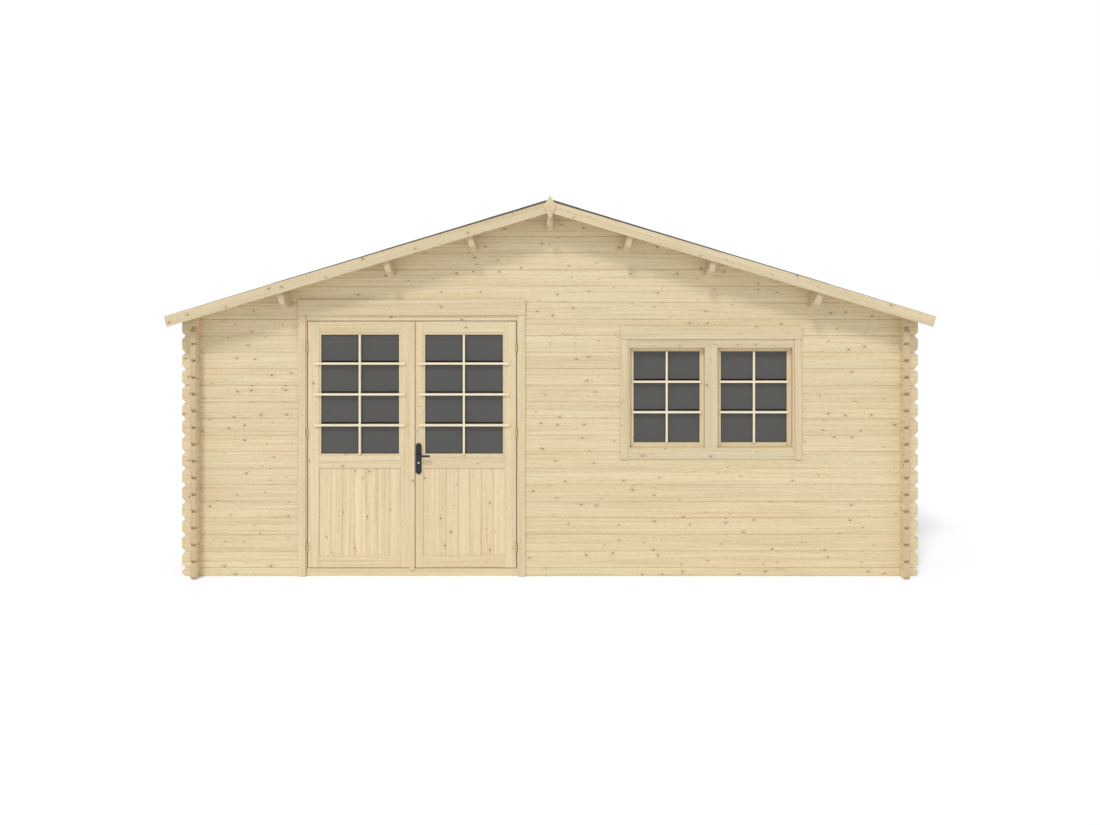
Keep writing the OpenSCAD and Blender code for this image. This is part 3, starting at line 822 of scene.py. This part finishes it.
def knots(tree, grain, edgewise, knot_share):
    """The hearts of the knots, and the halos round them, from 0 to 1."""
    arms = add(tree, "SeparateXYZ", {0: grain})
    across = add(tree, "Mix", {0: edgewise, 2: arms.outputs[1], 3: arms.outputs[2]}, data_type="FLOAT")
    on_face = add(tree, "CombineXYZ", {0: arms.outputs[0], 1: across.outputs[0]}).outputs[0]
    cells = add(
        tree, "TexVoronoi", {"Vector": stretch(tree, on_face, KNOT_CELLS), "Scale": 1.0},
        voronoi_dimensions="2D",
    )
    draw = add(tree, "SeparateColor", {"Color": cells.outputs["Color"]})
    has_knot = sums(tree, "GREATER_THAN", draw.outputs[0], 1 - knot_share)
    size = ease_range(tree, draw.outputs[1], 0.0, 1.0, *KNOT_SIZES)
    reach = sums(tree, "DIVIDE", cells.outputs["Distance"], size)
    heart = sums(tree, "MULTIPLY", ease_range(tree, reach, *KNOT_HEART, 1.0, 0.0), has_knot)
    halo = sums(tree, "MULTIPLY", ease_range(tree, reach, *KNOT_HALO, 1.0, 0.0), has_knot)
    return heart, halo


def late_wood(tree, grain, halo):
    """The dark side of each growth ring, from 0 to 1, swept round the knots."""
    wander = cloud(tree, grain, RING_CLOUD)
    radius = add(tree, "VectorMath", {0: stretch(tree, grain, (0.0, 1.0, 1.0))}, operation="LENGTH")
    swept = weighted_sum(tree, radius.outputs["Value"], ((wander, RING_WANDER), (halo, KNOT_SWEEP)))
    year = sums(tree, "FRACT", sums(tree, "DIVIDE", swept, RING_WIDTH), 0.0)
    return ease_range(tree, year, *RING_LATE, 0.0, 1.0)


def pine(name, pale, dark, ends, knot_share, rough):
    """Planed pine: growth rings round the heart, darker streaks and flecks, and small brown knots."""
    finish, tree, surface = new_finish(name)
    grain = add(tree, "Attribute", {}, attribute_name="grain").outputs["Vector"]
    tone = written(tree, "tone")
    sawn = written(tree, "sawn_end")
    edgewise = written(tree, "edge_face")

    heart, halo = knots(tree, grain, edgewise, knot_share)
    latewood = late_wood(tree, grain, halo)

    streaks = marked(tree, grain, STREAKS)
    flecks = marked(tree, grain, FLECKS)
    bands = marked(tree, grain, BANDS)
    flushed = marked(tree, grain, FLUSHES)
    fibre = cloud(tree, grain, FIBRE_CLOUD)

    rings = sums(tree, "MULTIPLY", latewood, RINGS_DARKEN)
    marks = (streaks, flecks, bands, tone, halo)
    darker = weighted_sum(tree, rings, zip(marks, MARKS_DARKEN))
    planed = mixed(tree, darker, (*pale, 1), (*dark, 1))
    rosy = mixed(tree, flushed, planed, ROSY, "MULTIPLY")
    knotted = mixed(tree, sums(tree, "MULTIPLY", heart, KNOT_DEPTH), rosy, KNOT)
    cut_across = mixed(tree, latewood, *ends)
    coloured = mixed(tree, sawn, knotted, cut_across)
    tree.links.new(coloured, surface.inputs["Base Color"])

    roughness = ease_range(tree, latewood, 0.0, 1.0, rough + RING_GLOSS, rough - RING_GLOSS)
    tree.links.new(roughness, surface.inputs["Roughness"])
    surface.inputs["Specular IOR Level"].default_value = PINE_SHINE
    relief = weighted_sum(tree, latewood, ((fibre, FIBRE_SHARE),))
    raise_relief(tree, surface, relief, *PINE_RELIEF)
    return finish


def mineral_felt(name):
    """Roofing felt: grey-brown grit on bitumen, which shows along the laps, with faint rain streaks."""
    finish, tree, surface = new_finish(name)
    place = own_place(tree)
    length_tone = written(tree, "length_tone")
    bitumen = written(tree, "bitumen")
    grit = add(tree, "TexVoronoi", {"Vector": place, "Scale": GRIT_CELLS})
    grain = add(tree, "SeparateColor", {"Color": grit.outputs["Color"]}).outputs[0]
    coat = mixed(tree, grain, *GRIT_COLOURS)
    coat = mixed(tree, sums(tree, "MULTIPLY", length_tone, PALE_SHARE), coat, PALE_LENGTH)
    for pattern, share, colour in FELT_WEATHER:
        coat = mixed(tree, marked(tree, place, pattern, share), coat, colour)
    tree.links.new(mixed(tree, bitumen, coat, BITUMEN), surface.inputs["Base Color"])
    gritty = ease_range(tree, grain, 0.0, 1.0, *GRIT_ROUGH)
    tarred = ease_range(tree, bitumen, 0.0, 1.0, 1.0, BITUMEN_GLOSS)
    tree.links.new(sums(tree, "MULTIPLY", gritty, tarred), surface.inputs["Roughness"])
    surface.inputs["Specular IOR Level"].default_value = FELT_SHINE
    raise_relief(tree, surface, grit.outputs["Distance"], *FELT_RELIEF)
    return finish


def tinted_glass(name):
    """Grey pane glass, slightly uneven, that lets a little of the room show."""
    finish, tree, surface = new_finish(name)
    place = own_place(tree)
    float_lines = cloud(tree, place, GLASS_LINES)
    dust = cloud(tree, place, GLASS_DUST)
    tree.links.new(mixed(tree, float_lines, *GLASS_TINTS), surface.inputs["Base Color"])
    tree.links.new(marks_in(tree, dust, GLASS_DUST, *GLASS_ROUGH), surface.inputs["Roughness"])
    surface.inputs["Alpha"].default_value = GLASS_COVER
    surface.inputs["Specular IOR Level"].default_value = GLASS_SHINE
    raise_relief(tree, surface, float_lines, *GLASS_RELIEF)
    return finish


def metal(name, colour, deep, metallic, rough, scale):
    """Metal or powder coat with fine scratches and handling marks."""
    finish, tree, surface = new_finish(name)
    place = own_place(tree)
    brushed = cloud(tree, place, Pattern(scale, SCRATCH_DETAIL))
    handled = cloud(tree, place, HANDLING)
    tree.links.new(mixed(tree, brushed, (*colour, 1), (*deep, 1)), surface.inputs["Base Color"])
    surface.inputs["Metallic"].default_value = metallic
    roughness = marks_in(tree, handled, HANDLING, rough, rough + HANDLED_ROUGHER)
    tree.links.new(roughness, surface.inputs["Roughness"])
    raise_relief(tree, surface, brushed, *METAL_RELIEF)
    return finish


def painted_shade_finish(name):
    """Matt black with a faint bloom: painted shade for the lines above the level bars and for the key
    slots.
    """
    finish, tree, surface = new_finish(name)
    place = own_place(tree)
    bloom = cloud(tree, place, SHADE_BLACK_BLOOM)
    tree.links.new(mixed(tree, bloom, *SHADE_BLACKS), surface.inputs["Base Color"])
    tree.links.new(marks_in(tree, bloom, SHADE_BLACK_BLOOM, *SHADE_BLACK_ROUGH), surface.inputs["Roughness"])
    surface.inputs["Specular IOR Level"].default_value = SHADE_BLACK_SHINE
    raise_relief(tree, surface, bloom, *SHADE_BLACK_RELIEF)
    return finish


# Pine, by its pale and dark wood, its sawn ends, the share of cells with a knot and its roughness
log_pine = pine("log_pine", (0.85, 0.73, 0.49), (0.60, 0.49, 0.295), LOG_ENDS, 0.6, 0.62)
trim_pine = pine("trim_pine", (0.80, 0.685, 0.46), (0.585, 0.48, 0.30), BOARD_ENDS, 0.35, 0.6)
barge_pine = pine("barge_pine", (0.785, 0.672, 0.455), (0.57, 0.468, 0.295), BOARD_ENDS, 0.8, 0.6)
joinery_pine = pine("joinery_pine", (0.83, 0.71, 0.475), (0.61, 0.495, 0.305), BOARD_ENDS, 0.25, 0.55)
# A darker copy of the joinery pine for the window frame: painted shade, since its face stands forward in
# fuller light than the door's; it also has more knots
shaded_window_pine = pine("shaded_window_pine", (0.775, 0.665, 0.45), (0.55, 0.45, 0.285), BOARD_ENDS, 0.4, 0.55)
# The glazing bars, painted paler than the other joinery as a painted highlight for the light they catch
# standing proud
highlit_bar_pine = pine("highlit_bar_pine", (0.93, 0.85, 0.655), (0.85, 0.755, 0.55), BOARD_ENDS, 0.0, 0.5)
panel_pine = pine("panel_pine", (0.875, 0.75, 0.497), (0.635, 0.515, 0.32), BOARD_ENDS, 0.4, 0.58)
roof_pine = pine("roof_pine", (0.82, 0.715, 0.50), (0.60, 0.495, 0.315), PURLIN_ENDS, 0.6, 0.66)
floor_pine = pine("floor_pine", (0.75, 0.605, 0.38), (0.56, 0.43, 0.25), BOARD_ENDS, 0.6, 0.6)

# Felt, glass, the black of the painted shade, and metals by their two tones, metalness, roughness and run
# of fine scratches
roof_felt = mineral_felt("roof_felt")
pane_glass = tinted_glass("pane_glass")
painted_shade_black = painted_shade_finish("painted_shade_black")
hinge_brass = metal("hinge_brass", (0.66, 0.56, 0.25), (0.47, 0.39, 0.16), 1.0, 0.28, (60.0, 60.0, 900.0))
screw_zinc = metal("screw_zinc", (0.66, 0.58, 0.38), (0.52, 0.45, 0.29), 1.0, 0.36, (300.0, 300.0, 300.0))
handle_black = metal(
    "handle_black", (0.006, 0.006, 0.0065), (0.012, 0.012, 0.0125), 0.0, 0.42, (700.0, 700.0, 700.0),
)
lock_steel = metal("lock_steel", (0.62, 0.62, 0.6), (0.48, 0.48, 0.47), 1.0, 0.3, (900.0, 60.0, 900.0))


# Walls

for wall in ("front_wall_left", "front_wall_right", "front_gable", "back_wall", "back_gable",
             "left_wall", "right_wall"):
    timber(wall, wall + "_logs", "house", log_pine, 0)

# Roof and floor

for node in ("ridge_purlin", "left_purlins", "right_purlins"):
    timber(node, "dressed_" + node, "house", roof_pine, RAFTER_EASE)
for side in ("left", "right"):
    node = side + "_roof_boards"
    lines = even_lines(node, Y, ROOF_BOARDS)
    boards(node, side + "_tongued_roof", "house", roof_pine, Y, lines, BOARD_CHAMFER)
    felt_roof(side + "_roof_covering", side, roof_felt)
timber("floor_bearers", "dressed_floor_bearers", "house", floor_pine, RAFTER_EASE)
boards(
    "floor_boards", "tongued_floor", "house", floor_pine, X,
    even_lines("floor_boards", X, FLOOR_BOARDS), BOARD_CHAMFER / 2,
)
for node, finish in (
    ("eaves_battens", trim_pine),
    ("front_bargeboards", barge_pine),
    ("back_bargeboards", barge_pine),
    ("front_finial", trim_pine),
    ("back_finial", trim_pine),
):
    timber(node, "dressed_" + node, "house", finish, TRIM_EASE)

barge_screws("front_bargeboards", OUT)
barge_screws("back_bargeboards", IN)

# Doorway and window

for node in ("door_casing", "door_casing_inside", "window_casing", "window_casing_inside"):
    timber(node, "dressed_" + node, "house", trim_pine, TRIM_EASE)
for node in ("door_jambs", "door_head", "door_threshold", "door_stops"):
    timber(node, "dressed_" + node, "house", joinery_pine, JOINERY_EASE)
for node in ("window_jambs", "window_rails"):
    timber(node, "dressed_" + node, "house", shaded_window_pine, JOINERY_EASE)
casing_screws("door_casing", OUT)
casing_screws("window_casing", OUT)
casing_screws("door_casing_inside", IN)
casing_screws("window_casing_inside", IN)
sash_lines = [corner.x for pane in solid_boxes("window_glass") for corner in pane]
boards(
    "window_sashes", "dressed_window_sashes", "house", joinery_pine, X,
    sash_lines, JOINERY_EASE,
)
window_glazing()

# Door leaves

for leaf in ("left_leaf", "right_leaf"):
    for part in ("_stiles", "_rails"):
        timber(leaf + part, "dressed_" + leaf + part, leaf, joinery_pine, JOINERY_EASE)
    panel = leaf + "_panel"
    boards(
        panel, leaf + "_panel_boards", leaf, panel_pine, X,
        even_lines(panel, X, PANEL_BOARDS), PANEL_EASE,
    )
    door_glazing(leaf)
    fitting(leaf + "_hinges", leaf + "_hinge_barrels", leaf, hinge_brass, HINGE_EASE)
timber("meeting_strip", "dressed_meeting_strip", "left_leaf", joinery_pine, TRIM_EASE)
fitting("hinge_pins", "frame_hinge_barrels", "house", hinge_brass, HINGE_EASE)
fitting("handle_plates", "eased_handle_plates", "right_leaf", handle_black, METAL_EASE)
fitting("lock_cylinder", "eased_lock_cylinder", "right_leaf", lock_steel, HINGE_EASE)
fitting("lever_handle", "eased_lever", "lever", handle_black, METAL_EASE)
plate_screws()
key_slots()
meeting_lip()
for node in ("left_leaf_glass", "right_leaf_glass", "window_glass"):
    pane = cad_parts[node]
    pane.data.materials.clear()
    pane.data.materials.append(pane_glass)


# Floor, light and camera

def pale_floor():
    """A plain floor that is white to the camera and keeps the house's shadow."""
    bm = bmesh.new()
    bmesh.ops.create_grid(bm, x_segments=1, y_segments=1, size=FLOOR_W / 2)
    bmesh.ops.translate(bm, vec=(0, 0, cad_low.z - FLOOR_BELOW), verts=bm.verts)
    mesh = bpy.data.meshes.new("studio_floor")
    bm.to_mesh(mesh)
    bm.free()
    finish, tree, surface = new_finish("studio_white")
    seen = seen_rays(tree)
    tree.links.new(mixed(tree, seen, FLOOR_PALE, WHITE), surface.inputs["Base Color"])
    surface.inputs["Roughness"].default_value = 1.0
    surface.inputs["Specular IOR Level"].default_value = 0.0
    surface.inputs["Emission Color"].default_value = FLOOR_COOL
    tree.links.new(sums(tree, "MULTIPLY", seen, FLOOR_GLOW), surface.inputs["Emission Strength"])
    mesh.materials.append(finish)
    floor = bpy.data.objects.new("studio_floor", mesh)
    bpy.context.scene.collection.objects.link(floor)


def studio_light():
    """A soft sun from the upper left and an even white sky."""
    lamp = bpy.data.lights.new("soft_sun", "SUN")
    lamp.energy = SUN_STRENGTH
    lamp.angle = SUN_SOFTNESS
    sun = bpy.data.objects.new("soft_sun", lamp)
    sun.rotation_euler = SUN_TRAVEL.to_track_quat("-Z", "Y").to_euler()
    bpy.context.scene.collection.objects.link(sun)
    sky = bpy.data.worlds.new("white_sky")
    sky.use_nodes = True
    tree = sky.node_tree
    seen = seen_rays(tree)
    strength = add(tree, "MapRange", {"Value": seen, "To Min": SKY_STRENGTH, "To Max": 1.0})
    tree.nodes["Background"].inputs["Color"].default_value = WHITE
    tree.links.new(strength.outputs["Result"], tree.nodes["Background"].inputs["Strength"])
    bpy.context.scene.world = sky


def photo_camera():
    """The photograph's camera: level, square to the front and a little above the eaves."""
    lens = bpy.data.cameras.new("front_view")
    lens.sensor_width = SENSOR_MM
    lens.lens = LENS_PIXELS * SENSOR_MM / FRAME_W
    lens.shift_y = -HORIZON_PIXELS / FRAME_W
    lens.clip_end = VIEW_REACH
    camera = bpy.data.objects.new("front_view", lens)
    camera.location = (0, CAMERA_Y, CAMERA_Z)
    camera.rotation_euler = (math.pi / 2, 0, 0)
    bpy.context.scene.collection.objects.link(camera)
    bpy.context.scene.camera = camera


pale_floor()
studio_light()
photo_camera()
bpy.context.scene.view_settings.view_transform = "Standard"
